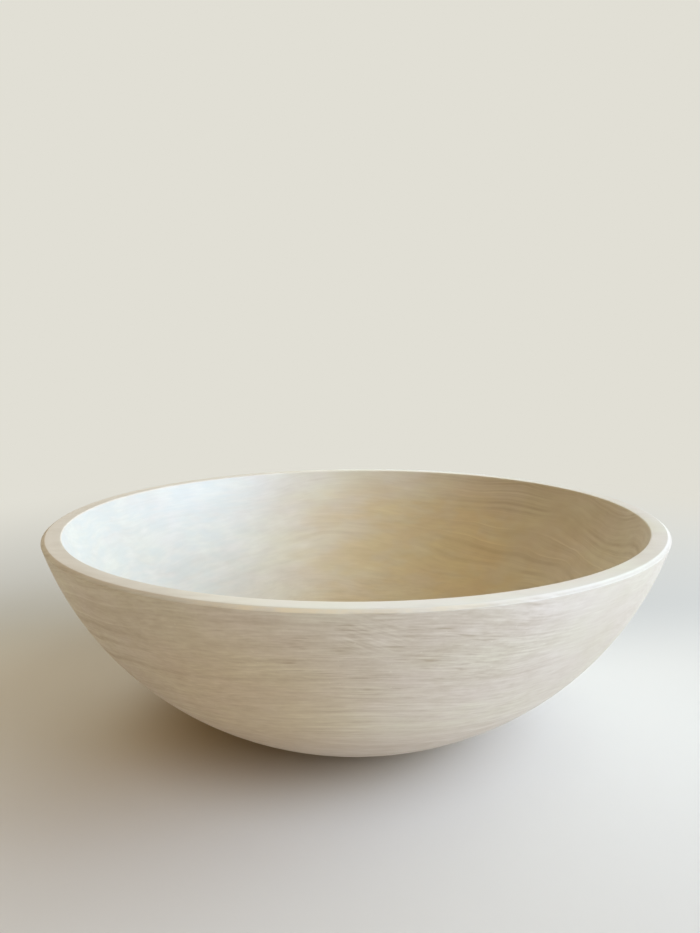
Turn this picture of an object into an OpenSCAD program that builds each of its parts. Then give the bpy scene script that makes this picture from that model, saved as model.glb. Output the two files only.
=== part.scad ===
// Wooden serving bowl, turned from one solid piece of pale hardwood.
// Its whole shape is one outline revolved about the upright axis: a curved wall,
// a level rim with eased edges, a hollow inside and a shallow dish under the foot.
// The foot stands on the plane z = 0, and the origin is the middle of the foot.

/* [Bowl] */
// Greatest outside diameter, at the lower edge of the rim's bevel
rim_d = 380; // [330:5:440]
// Height from the foot to the top of the rim
bowl_h = 128; // [112:1:145]
// Diameter of the foot
foot_d = 140; // [110:2:170]
// Radius of the curve that the outside is turned to
outside_r = 188; // [165:1:230]

/* [Wall] */
// Width of the rim, from the widest point in to the hollow
rim_w = 10.6; // [8:0.2:16]
// Radius of the curve that the wall of the hollow is turned to
hollow_r = 160; // [135:1:170]
// Radius of the broad curve across the floor of the hollow
floor_r = 400; // [300:10:600]
// Thickness of the bowl's floor at the middle, above the plane of the foot
floor_t = 13; // [10:0.5:20]

/* [Edges] */
// Width of the bevel round the rim's outside edge, across the rim
bevel_w = 2.1; // [1:0.1:3.5]
// Height of the same bevel
bevel_h = 1.5; // [0.8:0.1:3]
// Radius that eases the rim's inside edge
lip_ease_r = 0.7; // [0.3:0.1:2]
// Radius that eases the edge between the outside and the foot
foot_ease_r = 6; // [2:0.5:12]

/* [Foot] */
// Diameter of the shallow dish turned in the foot, which leaves a ring to stand on
dish_d = 104; // [70:2:106]
// Depth of the dish at its middle
dish_depth = 2; // [1:0.25:4]

/* [Hidden] */
$fn = 256;

rim_r = rim_d / 2;
dish_r = dish_d / 2;

// Where circles of radius a round p and radius b round q cross, on the left going from p to q
function crossing(p, a, q, b) =
    let (gap = norm(q - p),
         along = (gap * gap + a * a - b * b) / (2 * gap),
         way = (q - p) / gap)
    p + way * along + [-way[1], way[0]] * sqrt(a * a - along * along);

function unit(v) = v / norm(v);

// The outside curve runs from the edge of the foot to the widest point
foot_edge = [foot_d / 2, 0];
widest = [rim_r, bowl_h - bevel_h];
outside_c = crossing(foot_edge, outside_r, widest, outside_r);

// The hollow's wall curve starts at the rim's inside edge and flows into the floor's broader curve
lip_edge = [rim_r - rim_w, bowl_h];
floor_c = [0, floor_t + floor_r];
hollow_c = crossing(lip_edge, hollow_r, floor_c, floor_r - hollow_r);
flow_way = unit(hollow_c - floor_c);
flow_point = floor_c + flow_way * floor_r;

// The eased edges are arcs that touch the two surfaces beside them
lip_c = [hollow_c[0] + sqrt(pow(hollow_r + lip_ease_r, 2) - pow(bowl_h - lip_ease_r - hollow_c[1], 2)),
         bowl_h - lip_ease_r];
foot_c = [outside_c[0] + sqrt(pow(outside_r - foot_ease_r, 2) - pow(outside_c[1] - foot_ease_r, 2)),
          foot_ease_r];

// A dish of this radius is dish_d across where it meets the foot
dish_curve_r = (dish_r * dish_r + dish_depth * dish_depth) / (2 * dish_depth);

// Half outline of the blank, with the rim's bevel already on it
module blank_outline() {
    polygon([[0, 0], [rim_r, 0], widest, [rim_r - bevel_w, bowl_h], [0, bowl_h]]);
}

// Half outline of the space inside the bowl
module hollow_outline() {
    translate(hollow_c) circle(r = hollow_r);
    intersection() {
        translate(floor_c) circle(r = floor_r);
        polygon([[0, 0], [flow_point[0], 0], flow_point, hollow_c, [0, hollow_c[1]]]);
    }
}

// What is cut away beyond an arc of radius r round c, between the two ways out from c
module edge_waste(c, r, way_a, way_b) {
    translate(c) difference() {
        polygon([[0, 0], way_a * 2 * r, (way_a + way_b) * 2 * r, way_b * 2 * r]);
        circle(r = r);
    }
}

module bowl_outline() {
    difference() {
        intersection() {
            blank_outline();
            translate(outside_c) circle(r = outside_r);
        }
        hollow_outline();
        edge_waste(lip_c, lip_ease_r, [0, 1], unit(hollow_c - lip_c));
        edge_waste(foot_c, foot_ease_r, [0, -1], unit(foot_c - outside_c));
        translate([0, dish_depth - dish_curve_r]) circle(r = dish_curve_r);
    }
}

module bowl() {
    color([0.86, 0.81, 0.72]) rotate_extrude() bowl_outline();
}

bowl();
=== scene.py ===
"""Turned wooden serving bowl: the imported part's finished surface, its wood and the studio it stands in."""
import math
from collections import namedtuple

import bmesh
import bpy
from bpy.props import FloatProperty, FloatVectorProperty, IntProperty, PointerProperty
from mathutils import Matrix, Vector


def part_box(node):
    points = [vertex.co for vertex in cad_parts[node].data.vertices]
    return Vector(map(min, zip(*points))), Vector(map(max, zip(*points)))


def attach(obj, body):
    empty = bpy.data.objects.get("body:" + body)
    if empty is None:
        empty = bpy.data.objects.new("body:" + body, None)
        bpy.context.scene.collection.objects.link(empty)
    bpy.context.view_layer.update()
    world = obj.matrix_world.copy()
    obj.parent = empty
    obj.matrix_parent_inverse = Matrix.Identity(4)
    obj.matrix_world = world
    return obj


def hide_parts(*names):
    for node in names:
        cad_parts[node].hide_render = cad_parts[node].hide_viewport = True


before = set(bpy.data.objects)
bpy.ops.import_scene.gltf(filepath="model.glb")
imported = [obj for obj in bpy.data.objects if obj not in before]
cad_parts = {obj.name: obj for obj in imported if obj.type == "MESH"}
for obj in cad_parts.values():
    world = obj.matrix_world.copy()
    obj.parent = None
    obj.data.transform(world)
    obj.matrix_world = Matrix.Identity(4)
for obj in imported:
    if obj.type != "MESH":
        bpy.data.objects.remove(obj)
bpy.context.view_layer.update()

bl_info = {
    "name": "Turned wooden bowl",
    "version": (1, 0, 0),
    "blender": (4, 5, 0),
    "location": "View3D > Sidebar > Bowl",
    "description": "Turns a wooden serving bowl from its outline and sets it in a plain studio",
    "category": "Add Mesh",
}

NODE = "bowl"
BODY = "root"
FOOT_PLANE = 0.0

LOWEST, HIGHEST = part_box(NODE)
RIM_RADIUS = (HIGHEST.x - LOWEST.x) / 2
BOWL_HEIGHT = HIGHEST.z - LOWEST.z


class BowlOutline(bpy.types.PropertyGroup):
    """Sizes of the outline that the bowl is turned to."""

    foot_diameter: FloatProperty(
        name="Foot diameter", description="Diameter of the foot", default=0.140, unit="LENGTH")
    outside_radius: FloatProperty(
        name="Outside radius", description="Radius of the outside curve", default=0.188, unit="LENGTH")
    rim_width: FloatProperty(
        name="Rim width", description="From the widest point in to the hollow", default=0.0106, unit="LENGTH")
    hollow_radius: FloatProperty(
        name="Hollow radius", description="Radius of the hollow's wall curve", default=0.160, unit="LENGTH")
    floor_radius: FloatProperty(
        name="Floor radius", description="Radius of the hollow's floor curve", default=0.400, unit="LENGTH")
    floor_thickness: FloatProperty(
        name="Floor thickness", description="Wood above the foot, in the middle", default=0.013,
        unit="LENGTH")
    bevel_width: FloatProperty(
        name="Bevel width", description="Rim bevel, across the rim", default=0.0021, unit="LENGTH")
    bevel_height: FloatProperty(
        name="Bevel height", description="Rim bevel, down the wall", default=0.0015, unit="LENGTH")
    dish_diameter: FloatProperty(
        name="Dish diameter", description="Shallow dish in the foot", default=0.104, unit="LENGTH")
    dish_depth: FloatProperty(
        name="Dish depth", description="Depth of that dish at its middle", default=0.002, unit="LENGTH")
    lip_ease: FloatProperty(
        name="Lip ease", description="Set-back of the rounding on the rim's inside edge", default=0.0005,
        unit="LENGTH")
    bevel_ease: FloatProperty(
        name="Bevel ease", description="Set-back of the rounding on the bevel's edges", default=0.0003,
        unit="LENGTH")
    foot_ease: FloatProperty(
        name="Foot ease", description="Set-back of the rounding at the foot", default=0.0010, unit="LENGTH")
    turns: IntProperty(
        name="Steps round", description="Faces round the bowl", default=288, min=32)
    arc_step: FloatProperty(
        name="Arc step", description="Length of a face along the outline", default=0.003, unit="LENGTH")


class WoodFinish(bpy.types.PropertyGroup):
    """Colours and sizes of the whitened hardwood's figure, and colours of the light and shade painted into
    it.
    """

    pale_colour: FloatVectorProperty(
        name="Pale wood", description="Colour of the palest wood", subtype="COLOR", size=3,
        default=(0.80, 0.755, 0.61))
    # Blush also carries painted warm bounce light low on the outside and painted shade on the rim top's left
    blush_and_painted_warmth_colour: FloatVectorProperty(
        name="Blush", description="Colour of its pinkish patches", subtype="COLOR", size=3,
        default=(0.79, 0.715, 0.62))
    deep_colour: FloatVectorProperty(
        name="Deep wood", description="Colour of the darkest fibres", subtype="COLOR", size=3,
        default=(0.50, 0.41, 0.29))
    bare_colour: FloatVectorProperty(
        name="Bare wood", description="Colour where the whitening is worn off", subtype="COLOR", size=3,
        default=(0.84, 0.70, 0.47))
    # Painted light: the cool window light on the left of the hollow
    painted_light_colour: FloatVectorProperty(
        name="Film", description="Colour of the whitening where it lies thick", subtype="COLOR", size=3,
        default=(0.59, 0.595, 0.525))
    # Painted shade: the warm shade in the middle and right of the hollow
    warm_shade_tint: FloatVectorProperty(
        name="Warm tint", description="Tint of the wood where the whitening is thin", subtype="COLOR", size=3,
        default=(1.0, 0.885, 0.65))
    ring_spacing: FloatProperty(
        name="Ring spacing", description="From one growth ring to the next", default=0.0022, unit="LENGTH")
    fibre_length: FloatProperty(
        name="Fibre length", description="Length of a streak along the grain", default=0.018, unit="LENGTH")
    fibre_width: FloatProperty(
        name="Fibre width", description="Width of a streak across the grain", default=0.0018, unit="LENGTH")
    roughness: FloatProperty(
        name="Roughness", description="Middle roughness of the finish", default=0.5, min=0.0, max=1.0)


class StudioStage(bpy.types.PropertyGroup):
    """Floor, light and camera."""

    floor_colour: FloatVectorProperty(
        name="Floor", description="Colour of the floor", subtype="COLOR", size=3, default=(0.79, 0.745, 0.66))
    # Painted contact shadow on the floor round the foot
    contact_shadow_colour: FloatVectorProperty(
        name="Floor at the foot", description="Colour of the floor near the foot", subtype="COLOR", size=3,
        default=(0.50, 0.42, 0.31))
    bounce_colour: FloatVectorProperty(
        name="Bounce", description="Colour of the floor in the light that it gives back to the bowl",
        subtype="COLOR", size=3, default=(0.77, 0.695, 0.595))
    # Painted shade on the floor behind the bowl
    shade_behind_colour: FloatVectorProperty(
        name="Behind", description="Colour of the floor behind the bowl", subtype="COLOR", size=3,
        default=(0.62, 0.60, 0.55))
    window_colour: FloatVectorProperty(
        name="Window light", description="Colour of the daylight from the right", subtype="COLOR", size=3,
        default=(0.757, 0.995, 1.41))
    high_colour: FloatVectorProperty(
        name="High light", description="Colour of the light from higher up", subtype="COLOR", size=3,
        default=(0.80, 1.0, 1.0))
    fill_colour: FloatVectorProperty(
        name="Fill light", description="Colour of the light from all round", subtype="COLOR", size=3,
        default=(0.404, 0.311, 0.187))
    backdrop_colour: FloatVectorProperty(
        name="Backdrop", description="Colour behind everything", subtype="COLOR", size=3,
        default=(0.753, 0.737, 0.665))


def arc_points(centre, radius, start, end, step):
    """Points on an arc of the outline, without its first one; angles in radians from the bowl's radius."""
    count = max(2, math.ceil(abs(end - start) * radius / step))
    angles = [start + (end - start) * index / count for index in range(1, count + 1)]
    return [centre + radius * Vector((math.cos(angle), math.sin(angle))) for angle in angles]


def crossing(first, first_radius, second, second_radius):
    """Where circles round two points cross, on the left going from the first point to the second."""
    gap = (second - first).length
    along = (gap * gap + first_radius * first_radius - second_radius * second_radius) / (2 * gap)
    way = (second - first) / gap
    aside = math.sqrt(first_radius * first_radius - along * along)
    return first + way * along + Vector((-way.y, way.x)) * aside


def angle_of(point, centre):
    return math.atan2(point.y - centre.y, point.x - centre.x)


def key_points(sizes):
    """The outline's corners and curve centres, as (radius, height)."""
    points = {
        "foot": Vector((sizes.foot_diameter / 2, 0)),
        "widest": Vector((RIM_RADIUS, BOWL_HEIGHT - sizes.bevel_height)),
        "rim_outer": Vector((RIM_RADIUS - sizes.bevel_width, BOWL_HEIGHT)),
        "lip": Vector((RIM_RADIUS - sizes.rim_width, BOWL_HEIGHT)),
        "dish": Vector((sizes.dish_diameter / 2, 0)),
        "floor_centre": Vector((0, sizes.floor_thickness + sizes.floor_radius)),
    }
    points["outside_centre"] = crossing(
        points["foot"], sizes.outside_radius, points["widest"], sizes.outside_radius)
    points["hollow_centre"] = crossing(
        points["lip"], sizes.hollow_radius,
        points["floor_centre"], sizes.floor_radius - sizes.hollow_radius)
    dish_radius = (points["dish"].x ** 2 + sizes.dish_depth ** 2) / (2 * sizes.dish_depth)
    points["dish_centre"] = Vector((0, sizes.dish_depth - dish_radius))
    return points


def bowl_outline(sizes):
    """The outline from the middle of the foot's dish, up the outside, over the rim and down to the floor."""
    at = key_points(sizes)
    up = math.pi / 2
    step = sizes.arc_step
    dish_curve = (at["dish"] - at["dish_centre"]).length
    outside, hollow, floor = at["outside_centre"], at["hollow_centre"], at["floor_centre"]
    flow = angle_of(hollow, floor)
    points = [Vector((0, sizes.dish_depth))]
    points += arc_points(at["dish_centre"], dish_curve, up, angle_of(at["dish"], at["dish_centre"]), 2 * step)
    points += [at["dish"].lerp(at["foot"], 0.5), at["foot"]]
    points += arc_points(outside, sizes.outside_radius, angle_of(at["foot"], outside),
                         angle_of(at["widest"], outside), step)
    points += [at["rim_outer"], at["lip"]]
    points += arc_points(hollow, sizes.hollow_radius, angle_of(at["lip"], hollow), flow, step)
    points += arc_points(floor, sizes.floor_radius, flow, -up, step)
    points[-1].x = 0
    return points


def clear_selection():
    bpy.ops.object.select_all(action="DESELECT")


def draw_line(name, points):
    """An object with one open chain of edges through the points, left in edit mode with all selected."""
    clear_selection()
    bpy.ops.mesh.primitive_plane_add(size=1, location=(0, 0, 0))
    piece = bpy.context.object
    piece.name = piece.data.name = name
    bpy.ops.object.mode_set(mode="EDIT")
    bpy.ops.mesh.select_all(action="SELECT")
    bpy.ops.mesh.merge(type="CENTER")
    first = points[0]
    bpy.ops.transform.translate(value=(first.x, 0, first.y))
    for before, after in zip(points, points[1:]):
        step = after - before
        bpy.ops.mesh.extrude_region_move(TRANSFORM_OT_translate={"value": (step.x, 0, step.y)})
    bpy.ops.mesh.select_all(action="SELECT")
    return piece


def select_ring(piece, corner, near=1e-5):
    """Selects the ring of edges that the corner of the outline was spun into."""
    bpy.ops.mesh.select_all(action="DESELECT")
    mesh = bmesh.from_edit_mesh(piece.data)
    for vert in mesh.verts:
        out = math.hypot(vert.co.x, vert.co.y)
        vert.select = abs(out - corner.x) < near and abs(vert.co.z - corner.y) < near
    mesh.select_flush(True)
    bmesh.update_edit_mesh(piece.data)


def ease_ring(piece, corner, set_back, segments):
    """Rounds one ring of the bowl."""
    select_ring(piece, corner)
    bpy.ops.mesh.bevel(offset=set_back, segments=segments, profile=0.5, affect="EDGES")


# Edges that turn by less than this are shaded as one smooth surface
SMOOTH_ANGLE = math.radians(30)


def turn_bowl(sizes):
    """Spins the outline about the upright axis and rounds its corners."""
    piece = draw_line("turned_bowl", bowl_outline(sizes))
    bpy.ops.mesh.spin(steps=sizes.turns, angle=2 * math.pi, center=(0, 0, 0), axis=(0, 0, 1))
    bpy.ops.mesh.select_all(action="SELECT")
    bpy.ops.mesh.remove_doubles(threshold=1e-6)
    bpy.ops.mesh.normals_make_consistent(inside=False)
    at = key_points(sizes)
    ease_ring(piece, at["foot"], sizes.foot_ease, segments=3)
    ease_ring(piece, at["widest"], sizes.bevel_ease, segments=4)
    ease_ring(piece, at["rim_outer"], sizes.bevel_ease, segments=3)
    ease_ring(piece, at["lip"], sizes.lip_ease, segments=5)
    bpy.ops.mesh.select_all(action="DESELECT")
    bpy.ops.object.mode_set(mode="OBJECT")
    bpy.ops.object.shade_smooth_by_angle(angle=SMOOTH_ANGLE)
    return piece


# How far apart the nodes stand in the editor, and the middle value of a noise
COLUMN_WIDTH = 220
NOISE_MIDDLE = 0.5


class NodeBoard:
    """The node tree of a material or the world, with short calls for the nodes used here."""

    def __init__(self, owner):
        owner.use_nodes = True
        self.owner = owner
        self.tree = owner.node_tree
        self.tree.nodes.clear()
        self.column = 0

    def add(self, kind, inputs=None, **settings):
        node = self.tree.nodes.new(kind)
        node.location = (COLUMN_WIDTH * self.column, 0)
        self.column += 1
        for key, value in settings.items():
            setattr(node, key, value)
        for key, value in (inputs or {}).items():
            self.feed(node.inputs[key], value)
        return node

    def feed(self, socket, value):
        if isinstance(value, bpy.types.NodeSocket):
            self.tree.links.new(value, socket)
        else:
            socket.default_value = value

    def math(self, operation, *values, clamp=False):
        node = self.add("ShaderNodeMath", dict(enumerate(values)), operation=operation, use_clamp=clamp)
        return node.outputs[0]

    def vector(self, operation, *values):
        node = self.add("ShaderNodeVectorMath", dict(enumerate(values)), operation=operation)
        return node.outputs["Value"] if operation == "LENGTH" else node.outputs["Vector"]

    def parts(self, place):
        """The x, y and z of a place."""
        outputs = self.add("ShaderNodeSeparateXYZ", {"Vector": place}).outputs
        return outputs["X"], outputs["Y"], outputs["Z"]

    def joined(self, x, y, z):
        """The place with this x, y and z."""
        return self.add("ShaderNodeCombineXYZ", {"X": x, "Y": y, "Z": z}).outputs["Vector"]

    def product(self, first, *others):
        for other in others:
            first = self.math("MULTIPLY", first, other)
        return first

    def weighed(self, values, weights):
        """Sum of the values, each times the weight of its name."""
        total = None
        for name, value in values.items():
            part = self.math("MULTIPLY", value, weights[name])
            total = part if total is None else self.math("ADD", total, part)
        return total

    def noise(self, place, texture, unit=(1.0, 1.0, 1.0), output="Fac"):
        """The texture's noise at the place; the unit is what its cell is measured in along x, y and z."""
        shares = tuple(1 / (size * length) for size, length in zip(texture.cell, unit))
        spot = self.vector("MULTIPLY", place, shares)
        node = self.add("ShaderNodeTexNoise", {"Vector": spot, "Scale": 1.0, "Detail": texture.detail,
                                               "Roughness": texture.roughness})
        return node.outputs[output]

    def swing(self, noise):
        """The noise's way above or below its middle."""
        return self.math("SUBTRACT", noise, NOISE_MIDDLE)

    def ramp(self, value, low, high, to_low=0.0, to_high=1.0):
        """Smooth step from to_low at low to to_high at high."""
        node = self.add("ShaderNodeMapRange",
                        {"Value": value, "From Min": low, "From Max": high,
                         "To Min": to_low, "To Max": to_high}, interpolation_type="SMOOTHSTEP")
        return node.outputs["Result"]

    def eased(self, share, at_none, at_full):
        """Smooth step from at_none where the share is 0 to at_full where it is 1."""
        return self.ramp(share, 0.0, 1.0, at_none, at_full)

    def between(self, share, first, second):
        """The number that lies that share of the way from first to second."""
        return self.math("MULTIPLY_ADD", share, self.math("SUBTRACT", second, first), first)

    def blend(self, share, first, second, blend_type="MIX"):
        node = self.add("ShaderNodeMix", data_type="RGBA", blend_type=blend_type)
        self.feed(node.inputs[0], share)
        self.feed(node.inputs[6], first)
        self.feed(node.inputs[7], second)
        return node.outputs[2]

    def looked_at(self):
        """1 where the camera looks, straight, by a reflection or through glass, and 0 for other light."""
        path = self.add("ShaderNodeLightPath").outputs
        share = path["Is Camera Ray"]
        for name in ("Is Glossy Ray", "Is Transmission Ray"):
            share = self.math("MAXIMUM", share, path[name])
        return share


# A noise by the size of its features along x, y and z
Texture = namedtuple("Texture", "cell detail roughness", defaults=(1.0, 0.5))

# Noises laid over the bowl, in metres
SURFACE_TEXTURES = {
    "showing": Texture((0.07, 0.05, 0.025)),
    "grit": Texture((0.0028, 0.0014, 0.0014), 1.0, 0.6),
    "patch": Texture((0.07, 0.03, 0.03)),
    "speck": Texture((0.0013, 0.0010, 0.0010), 0.0),
    "cloud": Texture((0.030, 0.022, 0.013), 2.0, 0.6),
    "blush": Texture((0.045, 0.035, 0.022), 2.0, 0.6),
    "blotch": Texture((0.040, 0.030, 0.014), 2.0, 0.6),
    "wear": Texture((0.016, 0.016, 0.016), 3.0, 0.7),
}
# Noises laid in the tree, in metres along the fibres, round the rings and out from its middle
TREE_TEXTURES = {
    "mark": Texture((0.018, 0.007, 0.0009)),
    "mottle": Texture((0.10, 0.06, 0.030), 2.0),
    "faint": Texture((0.035, 0.016, 0.0040)),
}
# The same for the fibres, in lengths, breadths and widths of a streak
FIBRE_TEXTURES = {
    "streak": Texture((1.0, 1.0, 1.0), 2.0),
    "hair": Texture((1 / 1.4, 1 / 2.0, 1 / 2.0)),
    "line": Texture((1.7, 1.7, 1 / 1.5)),
}
# Breadth of a streak round the rings, as a share of its length
STREAK_BREADTH = 0.45
# Marks that lie at an angle to the fibres
DIPPING_TEXTURE = Texture((0.008, 0.004, 0.0010))
DIP = math.radians(20)

# Growth rings by how many ring spacings they lie apart, and how strongly they show
RING_SPACINGS = {"band": 2.6, "line": 1.0}
RING_WEIGHTS = {"band": 0.60, "line": 0.50}
RING_DETAIL = 2.0
RING_ROUGHNESS = 0.6

# Where the middle of the tree lay, across the grain, from the middle of the foot
PITH = Vector((0, 0.075, 0.90))
# How far the grain wanders, and over what distances
WANDERINGS = ((Texture((0.20, 0.09, 0.09)), 0.030), (Texture((0.070, 0.035, 0.030)), 0.0045),
              (Texture((0.018, 0.010, 0.007)), 0.0008))

# Patches of the front, each as its middle and its reach: where the fibres show most, where they run in long
# lines, and where they dip
FIGURED_PATCH = Vector((0.030, -0.178, 0.107)), Vector((0.085, 0.10, 0.032))
LINED_PATCH = Vector((0.062, -0.170, 0.111)), Vector((0.050, 0.10, 0.022))
DIPPING_PATCH = Vector((0.006, -0.186, 0.115)), Vector((0.018, 0.10, 0.012))
# Where the outside is paler, which is painted light low on the front's right, and where it is a little
# yellower, which is painted warm shade low on the front's left
FRONT_LIGHT_PATCH = Vector((0.035, -0.160, 0.070)), Vector((0.055, 0.10, 0.030))
FRONT_SHADE_PATCH = Vector((-0.050, -0.160, 0.070)), Vector((0.055, 0.10, 0.055))

# A smooth change: where it starts and ends, and the value before and after
Change = namedtuple("Change", "start end before after", defaults=(0.0, 1.0))

# Changes from the left of the bowl to its right
LEFT_END = Change(-0.130, -0.070, 1.0, 0.0)
# Painted shade on the left of the rim top, and painted highlight on its middle and right
RIM_LEFT = Change(-0.12, 0.05, 1.0, 0.0)
RIM_MIDDLE_STARTS = Change(-0.09, -0.03)
RIM_MIDDLE_ENDS = Change(0.10, 0.15, 1.0, 0.0)
RIM_RIGHT = Change(0.08, 0.15)
# Painted shade on the bevel's left and painted highlight on its right
BEVEL_LEFT = Change(-0.09, -0.04, 1.0, 0.0)
BEVEL_RIGHT = Change(0.06, 0.14)
# Painted light on the outside's left, and the outside darker towards its right
OUTSIDE_LEFT = Change(-0.165, -0.120, 1.0, 0.0)
OUTSIDE_RIGHT = Change(0.08, 0.13)
# Bounds of the painted shade high in the hollow's right end
FAR_END = Change(0.09, 0.15)
RINGS_OUTSIDE = Change(0.07, 0.13, 1.0, 0.35)
RINGS_INSIDE = Change(0.05, 0.155, 0.40, 2.1)
MARKS_RIGHT = Change(0.06, 0.12, 1.0, 0.32)
FLOW_RIGHT = Change(0.05, 0.12, 1.0, 0.5)
# Bounds of the painted warm shade in the hollow
WARM_STARTS = Change(-0.13, 0.05)
WARM_ENDS = Change(0.09, 0.15, 1.0, 0.35)
# Bounds of the painted window light on the left of the hollow
PAINTED_LIGHT_ENDS = Change(-0.13, -0.04, 0.42, 0.0)
WEAR_STARTS = Change(-0.080, -0.045)
WEAR_ENDS = Change(-0.03, 0.10, 1.0, 0.0)
# The same from the near wall to the far one
# Painted warm shade, less on the hollow's near wall
WARM_BEHIND = Change(-0.13, -0.04, 0.45, 1.0)
# The same from the foot up to the rim
ABOVE_FOOT = Change(0.004, 0.010)
# Painted warm bounce light from the floor, low on the outside
PAINTED_BOUNCE_LOW = Change(0.035, 0.070, 1.0, 0.0)
BANDS_OUTSIDE = Change(0.055, 0.095, 1.9, 1.0)
MARKS_INSIDE = Change(0.030, 0.060, 0.55, 0.14)
MARKS_RAISED = Change(0.050, 0.090, 0.75, 1.0)
# Heights of the painted shade in the hollow's right end and of the painted warm shade
FAR_END_RAISED = Change(0.085, 0.115)
WARM_RAISED = Change(0.090, 0.128, 1.0, 0.35)
RIM_TOP = Change(BOWL_HEIGHT - 0.0012, BOWL_HEIGHT - 0.0002)
# The same from the middle of a patch outwards, in reaches
PATCH_EDGE = Change(0.3, 1.3, 1.0, 0.0)
# The same from a noise's low values to its high ones
RINGS_SHOWING = Change(0.35, 0.65, 0.15, 1.0)
CROWDED = Change(0.50, 0.75)
FLECKED = Change(0.60, 0.74)
SPECKED = Change(0.80, 0.90)
BLUSHING = Change(0.26, 0.74)
# These two break the painted warm shade and the painted window light into patches
WARM_PATCHES = Change(0.35, 0.65, 0.75, 1.20)
PAINTED_LIGHT_PATCHES = Change(0.38, 0.62, 0.60, 1.35)
WORN_PATCHES = Change(0.35, 0.65, 0.30, 0.95)

# Strengths away from a part of the bowl and on it
RINGS_ON_LEFT_END = (1.0, 1.6)
RINGS_ON_RIM_TOP = (1.0, 0.3)
MARKS_ON_FIGURED = (0.75, 0.95)
MARKS_ON_RIM_TOP = (1.0, 0.45)
MARKS_ON_LEFT_END = (1.0, 0.6)
FLOW_ON_INSIDE = (0.45, 0.25)
# The painted window light is kept off the rim top
PAINTED_LIGHT_ON_RIM_TOP = (1.0, 0.0)

# Depths under the outside's curve: a surface at the first is the hollow's, and at the second the outside's
HOLLOW_DEPTHS = (0.009, 0.003)

# Weights of what darkens the wood, or pales it where they are negative; most parts of the drift are painted
# light and shade
MARK_WEIGHTS = {"hair": 0.72, "grit": 0.28, "fleck": 0.40, "speck": -0.35, "line": 0.85, "dip": 0.9}
DEPTH_WEIGHTS = {"rings": 1.0, "marks": 1.0, "flow": 1.0, "mottle": 0.22, "cloud": 0.28}
DRIFT_WEIGHTS = {
    "warm_shade": -0.15, "rim_top": -0.14, "rim_middle_sheen": -0.28, "shaded_far_end": 0.12, "front_light_patch": -0.21,
    "outside_right": 0.20, "lit_outside_left": -0.30, "shaded_bevel_left": 0.14, "lit_bevel_right": -0.12,
    "lit_rim_right": -0.20, "faint": 0.26, "blotch": 0.22,
}
# Share of the deep colour where nothing darkens or pales the wood
MIDDLE_DEPTH = 0.42
# Weights of what crowds the flecks, paints warm shade into the wood, breaks the painted window light into
# patches, roughens the wood and raises it
CROWD_WEIGHTS = {"patch": 1.0, "figured": 0.30}
TINT_WEIGHTS = {"warm_shade": 1.0, "front_warm_shade": 0.44, "shaded_rim_left": 0.26}
PAINTED_LIGHT_WEIGHTS = {"blotch": 0.5, "faint": 0.5}
ROUGH_WEIGHTS = {"streak": 0.16, "mottle": 0.10}
RELIEF_WEIGHTS = {"streak": 0.6, "hair": 0.6, "fleck": -0.7}
RELIEF_STRENGTH = 0.12
RELIEF_HEIGHT = 0.0002


def with_alpha(colour):
    return (*colour, 1)


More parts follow.
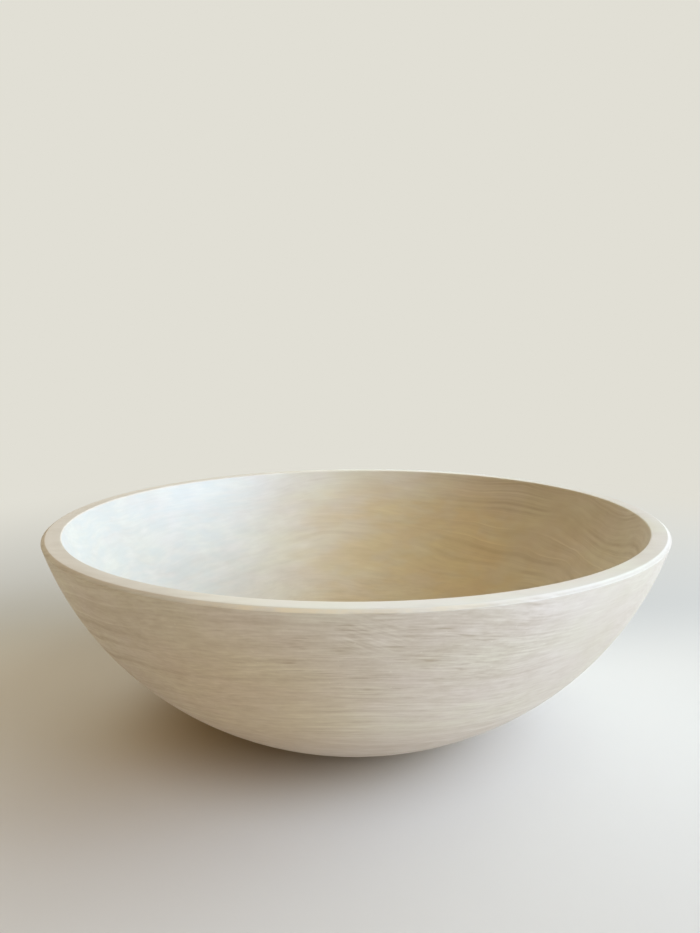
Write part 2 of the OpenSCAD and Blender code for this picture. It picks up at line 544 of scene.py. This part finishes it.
class PaleHardwood:
    """Whitened, close-grained wood with its fibres along X: rings, streaks, flecks and a soft mottle, with
    the studio's light and shade painted into its colour in places.
    """

    def __init__(self, finish, sizes):
        self.finish, self.sizes = finish, sizes
        board = self.board = NodeBoard(bpy.data.materials.new("pale_hardwood_wood"))
        self.place = board.add("ShaderNodeTexCoord").outputs["Object"]
        self.side, self.behind, self.height = board.parts(self.place)
        self.across = board.vector("LENGTH", board.vector("MULTIPLY", self.place, (1.0, 1.0, 0.0)))
        self.grain, self.from_pith = self.place_in_tree()
        self.noises = self.lay_noises()
        self.inside = self.inside_share()
        self.outside = board.math("SUBTRACT", 1.0, self.inside)
        self.rim_top = board.ramp(self.height, *RIM_TOP)
        self.shaded_rim_left = board.product(self.rim_top, board.ramp(self.side, *RIM_LEFT))
        self.left_end = board.ramp(self.side, *LEFT_END)
        self.bevel = self.bevel_share()
        self.figured = self.patch_share(FIGURED_PATCH)
        self.fleck = self.fleck_share()
        self.warm_shade = self.warm_shade_share()

    def place_in_tree(self):
        """Place along the fibres, round the rings and out from the tree's middle, and that last distance."""
        board, wavy = self.board, self.place
        for texture, reach in WANDERINGS:
            noise = board.noise(wavy, texture, output="Color")
            push = board.vector("SUBTRACT", noise, (NOISE_MIDDLE, NOISE_MIDDLE, NOISE_MIDDLE))
            wavy = board.vector("ADD", wavy, board.vector("MULTIPLY", push, (0.0, reach, reach)))
        from_pith = board.vector("SUBTRACT", wavy, PITH)
        out = board.vector("LENGTH", board.vector("MULTIPLY", from_pith, (0.0, 1.0, 1.0)))
        along, round_rings, _ = board.parts(wavy)
        return board.joined(along, round_rings, out), out

    def lay_noises(self):
        """The noises by name, each between 0 and 1."""
        board, finish = self.board, self.finish
        streak = (finish.fibre_length, finish.fibre_length * STREAK_BREADTH, finish.fibre_width)
        noises = {name: board.noise(self.place, texture) for name, texture in SURFACE_TEXTURES.items()}
        for name, texture in TREE_TEXTURES.items():
            noises[name] = board.noise(self.grain, texture)
        for name, texture in FIBRE_TEXTURES.items():
            noises[name] = board.noise(self.grain, texture, streak)
        return noises

    def swing(self, name):
        return self.board.swing(self.noises[name])

    def patch_share(self, patch):
        """1 in the middle of a patch, falling to 0 round it."""
        middle, reach = patch
        away = self.board.vector("DIVIDE", self.board.vector("SUBTRACT", self.place, middle), reach)
        return self.board.ramp(self.board.vector("LENGTH", away), *PATCH_EDGE)

    def inside_share(self):
        """1 on the hollow's surface and 0 on the outside and the foot."""
        board, sizes = self.board, self.sizes
        centre = key_points(sizes)["outside_centre"]
        spot = board.joined(self.across, self.height, 0.0)
        reach = board.vector("LENGTH", board.vector("SUBTRACT", spot, (centre.x, centre.y, 0.0)))
        deep, shallow = (sizes.outside_radius - depth for depth in HOLLOW_DEPTHS)
        return board.product(board.ramp(reach, deep, shallow, 1.0, 0.0), board.ramp(self.height, *ABOVE_FOOT))

    def bevel_share(self):
        """1 on the rim's bevel and 0 elsewhere."""
        board, sizes = self.board, self.sizes
        soft = sizes.bevel_ease
        bottom, inner = BOWL_HEIGHT - sizes.bevel_height, RIM_RADIUS - sizes.bevel_width
        above = board.ramp(self.height, bottom - soft, bottom + soft)
        return board.product(above, board.ramp(self.across, inner, inner + 2 * soft))

    def fleck_share(self):
        """1 on the short dark flecks, which crowd together in patches and most of all in the figured one."""
        board = self.board
        crowd = board.weighed({"patch": self.noises["patch"], "figured": self.figured}, CROWD_WEIGHTS)
        return board.product(board.ramp(self.noises["mark"], *FLECKED), board.ramp(crowd, *CROWDED))

    def warm_shade_share(self):
        """Painted warm shade in the middle and the right of the hollow, broken into blotchy patches."""
        board = self.board
        spread = board.product(board.ramp(self.side, *WARM_STARTS), board.ramp(self.side, *WARM_ENDS),
                               board.ramp(self.height, *WARM_RAISED), board.ramp(self.behind, *WARM_BEHIND))
        patches = board.product(self.inside, board.ramp(self.noises["blotch"], *WARM_PATCHES))
        return board.product(spread, patches)

    def growth_rings(self):
        """How much the rings darken the wood."""
        board = self.board
        rings = {}
        for name, spacings in RING_SPACINGS.items():
            count = board.math("DIVIDE", self.from_pith, self.finish.ring_spacing * spacings)
            node = board.add("ShaderNodeTexNoise", {"W": count, "Scale": 1.0, "Detail": RING_DETAIL,
                                                    "Roughness": RING_ROUGHNESS}, noise_dimensions="1D")
            rings[name] = board.swing(node.outputs["Fac"])
        broad = board.between(self.inside, board.ramp(self.height, *BANDS_OUTSIDE), 1.0)
        rings["band"] = board.product(rings["band"], broad)
        showing = board.math("MAXIMUM", board.ramp(self.noises["showing"], *RINGS_SHOWING),
                             board.product(self.left_end, self.outside))
        ends = board.product(board.ramp(self.side, *RINGS_OUTSIDE),
                             board.eased(self.left_end, *RINGS_ON_LEFT_END))
        within = board.between(self.inside, ends, board.ramp(self.side, *RINGS_INSIDE))
        return board.product(board.weighed(rings, RING_WEIGHTS), showing, within,
                             board.eased(self.rim_top, *RINGS_ON_RIM_TOP))

    def fine_marks(self):
        """How much hairs, flecks and pores darken the wood."""
        board = self.board
        tilted = board.add("ShaderNodeVectorRotate", {"Vector": self.place, "Angle": -DIP},
                           rotation_type="Y_AXIS").outputs["Vector"]
        dip = board.swing(board.noise(tilted, DIPPING_TEXTURE))
        marks = {
            "hair": self.swing("hair"),
            "grit": self.swing("grit"),
            "fleck": self.fleck,
            "speck": board.ramp(self.noises["speck"], *SPECKED),
            "line": board.product(self.swing("line"), self.patch_share(LINED_PATCH)),
            "dip": board.product(dip, self.patch_share(DIPPING_PATCH)),
        }
        clear = board.between(self.inside, board.eased(self.figured, *MARKS_ON_FIGURED),
                              board.ramp(self.height, *MARKS_INSIDE))
        clear = board.product(clear, board.eased(self.rim_top, *MARKS_ON_RIM_TOP),
                              board.ramp(self.side, *MARKS_RIGHT),
                              board.eased(self.left_end, *MARKS_ON_LEFT_END),
                              board.ramp(self.height, *MARKS_RAISED))
        return board.product(board.weighed(marks, MARK_WEIGHTS), clear)

    def drift(self):
        """How much darker each part of the bowl is than the rest: mostly painted light and shade, with random
        blotches in the hollow.
        """
        board, side = self.board, self.side
        parts = {
            # Painted warm shade, paler as well as warmer
            "warm_shade": self.warm_shade,
            # Painted sheen: the rim top paler
            "rim_top": self.rim_top,
            # Painted sheen, strongest on the middle of the rim top
            "rim_middle_sheen": board.product(board.ramp(side, *RIM_MIDDLE_STARTS),
                                        board.ramp(side, *RIM_MIDDLE_ENDS), self.rim_top),
            # Painted shade high in the hollow's right end
            "shaded_far_end": board.product(self.inside, board.ramp(side, *FAR_END),
                                     board.ramp(self.height, *FAR_END_RAISED)),
            # Painted light low on the front's right
            "front_light_patch": self.patch_share(FRONT_LIGHT_PATCH),
            # The outside darker towards its right
            "outside_right": board.product(self.outside, board.ramp(side, *OUTSIDE_RIGHT)),
            # Painted light on the outside's left
            "lit_outside_left": board.product(self.outside, board.ramp(side, *OUTSIDE_LEFT)),
            # Painted shade on the bevel's left
            "shaded_bevel_left": board.product(self.bevel, board.ramp(side, *BEVEL_LEFT)),
            # Painted highlight on the bevel's right
            "lit_bevel_right": board.product(self.bevel, board.ramp(side, *BEVEL_RIGHT)),
            # Painted light on the rim top's right
            "lit_rim_right": board.product(self.rim_top, board.ramp(side, *RIM_RIGHT)),
            "faint": board.product(self.swing("faint"), self.inside),
            "blotch": board.product(self.swing("blotch"), self.inside),
        }
        return board.weighed(parts, DRIFT_WEIGHTS)

    def deep_share(self):
        """Share of the wood's deep colour, with the painted light and shade of the drift."""
        board = self.board
        flow = board.product(self.swing("streak"), board.eased(self.inside, *FLOW_ON_INSIDE),
                             board.ramp(self.side, *FLOW_RIGHT))
        figure = board.weighed({"rings": self.growth_rings(), "marks": self.fine_marks(), "flow": flow,
                                "mottle": self.swing("mottle"), "cloud": self.swing("cloud")}, DEPTH_WEIGHTS)
        return board.math("ADD", board.math("ADD", figure, self.drift()), MIDDLE_DEPTH, clamp=True)

    def painted_light_share(self):
        """Painted light: the cool window light on the left of the hollow, broken into patches and kept off
        the rim top.
        """
        board = self.board
        thick = board.weighed({name: self.noises[name] for name in PAINTED_LIGHT_WEIGHTS}, PAINTED_LIGHT_WEIGHTS)
        return board.product(self.inside, board.ramp(self.side, *PAINTED_LIGHT_ENDS),
                             board.eased(self.rim_top, *PAINTED_LIGHT_ON_RIM_TOP), board.ramp(thick, *PAINTED_LIGHT_PATCHES))

    def bare_share(self):
        """Where the whitening is sanded off: the middle of the bevel, in patches."""
        board = self.board
        return board.product(self.bevel, board.ramp(self.noises["wear"], *WORN_PATCHES),
                             board.ramp(self.side, *WEAR_ENDS), board.ramp(self.side, *WEAR_STARTS))

    def colour(self):
        board, finish = self.board, self.finish
        # Painted warm bounce light low on the outside
        low = board.product(self.outside, board.ramp(self.height, *PAINTED_BOUNCE_LOW))
        # Blush patches, with that painted bounce light and the painted shade on the rim top's left
        blush_and_painted_warmth = board.math("MAXIMUM", board.ramp(self.noises["blush"], *BLUSHING),
                           board.math("MAXIMUM", self.shaded_rim_left, low))
        # Painted warm shade in the hollow, low on the front's left and on the rim top's left
        tint = board.weighed({"warm_shade": self.warm_shade, "front_warm_shade": self.patch_share(FRONT_SHADE_PATCH),
                              "shaded_rim_left": self.shaded_rim_left}, TINT_WEIGHTS)
        colour = board.blend(blush_and_painted_warmth, with_alpha(finish.pale_colour), with_alpha(finish.blush_and_painted_warmth_colour))
        colour = board.blend(self.deep_share(), colour, with_alpha(finish.deep_colour))
        colour = board.blend(tint, colour, with_alpha(finish.warm_shade_tint), "MULTIPLY")
        # Painted window light on the left of the hollow
        colour = board.blend(self.painted_light_share(), colour, with_alpha(finish.painted_light_colour))
        return board.blend(self.bare_share(), colour, with_alpha(finish.bare_colour))

    def material(self):
        board = self.board
        swings = {name: self.swing(name) for name in ROUGH_WEIGHTS}
        rough = board.math("ADD", board.weighed(swings, ROUGH_WEIGHTS), self.finish.roughness)
        relief = board.weighed({"streak": self.swing("streak"), "hair": self.swing("hair"),
                                "fleck": self.fleck}, RELIEF_WEIGHTS)
        bump = board.add("ShaderNodeBump", {"Height": relief, "Strength": RELIEF_STRENGTH,
                                            "Distance": RELIEF_HEIGHT})
        shader = board.add("ShaderNodeBsdfPrincipled",
                           {"Base Color": self.colour(), "Roughness": rough,
                            "Normal": bump.outputs["Normal"], "Specular IOR Level": 0.45})
        board.add("ShaderNodeOutputMaterial", {"Surface": shader.outputs["BSDF"]})
        return board.owner


class BOWL_OT_turn(bpy.types.Operator):
    """Turn the bowl from its outline and give it its wood"""

    bl_idname = "bowl.turn"
    bl_label = "Turn the Bowl"

    def execute(self, context):
        piece = turn_bowl(context.scene.bowl_outline)
        wood = PaleHardwood(context.scene.wood_finish, context.scene.bowl_outline)
        piece.data.materials.append(wood.material())
        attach(piece, BODY)
        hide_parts(NODE)
        return {"FINISHED"}


# The camera stood in front of the bowl, a little above its rim
CAMERA_DISTANCE = 0.4521
CAMERA_ABOVE_RIM = 0.0943
CAMERA_ASIDE = -0.0031
CAMERA_PITCH = math.radians(8.165)
CAMERA_ROLL = -0.0069
CAMERA_LENS = 27.01
SENSOR_LONG_SIDE = 36.0


def add_camera():
    bpy.ops.object.camera_add(location=(CAMERA_ASIDE, -CAMERA_DISTANCE, BOWL_HEIGHT + CAMERA_ABOVE_RIM))
    camera = bpy.context.object
    turn = Matrix.Rotation(math.pi / 2 - CAMERA_PITCH, 4, "X") @ Matrix.Rotation(CAMERA_ROLL, 4, "Z")
    camera.rotation_euler = turn.to_euler()
    camera.data.sensor_width = SENSOR_LONG_SIDE
    camera.data.lens = CAMERA_LENS
    camera.data.clip_start = 0.01
    bpy.context.scene.camera = camera


# A square lamp: watts, degrees round from +X and up from the floor, metres from the bowl and across, and
# whether it shows as a highlight
Lamp = namedtuple("Lamp", "power azimuth elevation distance size highlight")
WINDOW_LAMPS = (Lamp(22.2, -30, 20, 1.8, 1.1, True), Lamp(47.0, 0, 20, 3.0, 1.8, True),
                Lamp(8.5, 75, 12, 1.8, 1.1, False))
HIGH_LAMPS = (Lamp(5.7, 90, 30, 1.8, 1.1, True), Lamp(4.6, 0, 55, 1.8, 1.1, True))
AIMED_AT = Vector((0, 0, 0.08))


def add_lamp(colour, lamp):
    """A soft area light that looks at the bowl."""
    azimuth, elevation = math.radians(lamp.azimuth), math.radians(lamp.elevation)
    way = Vector((math.cos(azimuth) * math.cos(elevation), math.sin(azimuth) * math.cos(elevation),
                  math.sin(elevation)))
    bpy.ops.object.light_add(type="AREA", location=AIMED_AT + way * lamp.distance)
    light = bpy.context.object
    light.rotation_euler = way.to_track_quat("Z", "Y").to_euler()
    light.data.shape = "SQUARE"
    light.data.size = lamp.size
    light.data.energy = lamp.power
    light.data.color = colour
    light.visible_glossy = lamp.highlight


# The floor has painted shade behind the bowl and a painted contact shadow at its foot, and runs into the
# backdrop further away
SHADE_BEHIND = Change(0.02, 0.20)
CONTACT_SHADOW_MIDDLE = Vector((-0.02, 0, 0))
CONTACT_SHADOW = Change(0.066, 0.150)
FADE = Change(0.15, 0.95)
FLOOR_SIZE = 8


def floor_paint(stage):
    """Matt floor that keeps the bowl's shadow, with painted shade behind it and a painted contact shadow
    round the foot, and is seen as the backdrop's colour further away.
    """
    board = NodeBoard(bpy.data.materials.new("floor_paint"))
    place = board.add("ShaderNodeTexCoord").outputs["Object"]
    _, behind, _ = board.parts(place)
    looked_at = board.looked_at()
    # Painted contact shadow round the foot, more to the left
    from_foot = board.vector("LENGTH", board.vector("SUBTRACT", place, CONTACT_SHADOW_MIDDLE))
    colour = board.blend(board.ramp(from_foot, *CONTACT_SHADOW), with_alpha(stage.contact_shadow_colour),
                         with_alpha(stage.floor_colour))
    # Painted shade behind the bowl
    colour = board.blend(board.ramp(behind, *SHADE_BEHIND), colour, with_alpha(stage.shade_behind_colour))
    colour = board.blend(looked_at, with_alpha(stage.bounce_colour), colour)
    shader = board.add("ShaderNodeBsdfPrincipled", {"Base Color": colour, "Roughness": 0.9,
                                                    "Specular IOR Level": 0.2})
    seen = board.add("ShaderNodeEmission", {"Color": with_alpha(stage.backdrop_colour)})
    fade = board.product(board.ramp(board.vector("LENGTH", place), *FADE), looked_at)
    mix = board.add("ShaderNodeMixShader", {0: fade, 1: shader.outputs["BSDF"], 2: seen.outputs["Emission"]})
    board.add("ShaderNodeOutputMaterial", {"Surface": mix.outputs["Shader"]})
    return board.owner


def add_floor(stage):
    bpy.ops.mesh.primitive_plane_add(size=FLOOR_SIZE, location=(0, 0, FOOT_PLANE))
    floor = bpy.context.object
    floor.name = "floor"
    floor.data.materials.append(floor_paint(stage))


def light_world(stage):
    """Soft light from all round, and the pale backdrop that the camera and reflections see."""
    board = NodeBoard(bpy.data.worlds.new("studio_air"))
    fill = board.add("ShaderNodeBackground", {"Color": with_alpha(stage.fill_colour)})
    seen = board.add("ShaderNodeBackground", {"Color": with_alpha(stage.backdrop_colour)})
    mix = board.add("ShaderNodeMixShader",
                    {0: board.looked_at(), 1: fill.outputs["Background"], 2: seen.outputs["Background"]})
    board.add("ShaderNodeOutputWorld", {"Surface": mix.outputs["Shader"]})
    bpy.context.scene.world = board.owner


class BOWL_OT_stage(bpy.types.Operator):
    """Set the floor, the light and the camera"""

    bl_idname = "bowl.stage"
    bl_label = "Set the Stage"

    def execute(self, context):
        stage = context.scene.studio_stage
        context.scene.view_settings.view_transform = "Standard"
        add_camera()
        add_floor(stage)
        for lamp in WINDOW_LAMPS:
            add_lamp(stage.window_colour, lamp)
        for lamp in HIGH_LAMPS:
            add_lamp(stage.high_colour, lamp)
        light_world(stage)
        return {"FINISHED"}


class BOWL_PT_panel(bpy.types.Panel):
    """The bowl's operators and values"""

    bl_idname = "BOWL_PT_panel"
    bl_label = "Turned Bowl"
    bl_space_type = "VIEW_3D"
    bl_region_type = "UI"
    bl_category = "Bowl"

    def draw(self, context):
        layout = self.layout
        for group, operator in ((context.scene.bowl_outline, BOWL_OT_turn.bl_idname),
                                (context.scene.wood_finish, None),
                                (context.scene.studio_stage, BOWL_OT_stage.bl_idname)):
            box = layout.box()
            for name in group.__annotations__:
                box.prop(group, name)
            if operator:
                box.operator(operator)


CLASSES = (BowlOutline, WoodFinish, StudioStage, BOWL_OT_turn, BOWL_OT_stage, BOWL_PT_panel)
GROUPS = {"bowl_outline": BowlOutline, "wood_finish": WoodFinish, "studio_stage": StudioStage}


def register():
    for each in CLASSES:
        bpy.utils.register_class(each)
    for name, group in GROUPS.items():
        setattr(bpy.types.Scene, name, PointerProperty(type=group))


def unregister():
    for name in GROUPS:
        delattr(bpy.types.Scene, name)
    for each in reversed(CLASSES):
        bpy.utils.unregister_class(each)


def main():
    register()
    bpy.ops.bowl.stage()
    bpy.ops.bowl.turn()


if __name__ == "__main__":
    main()
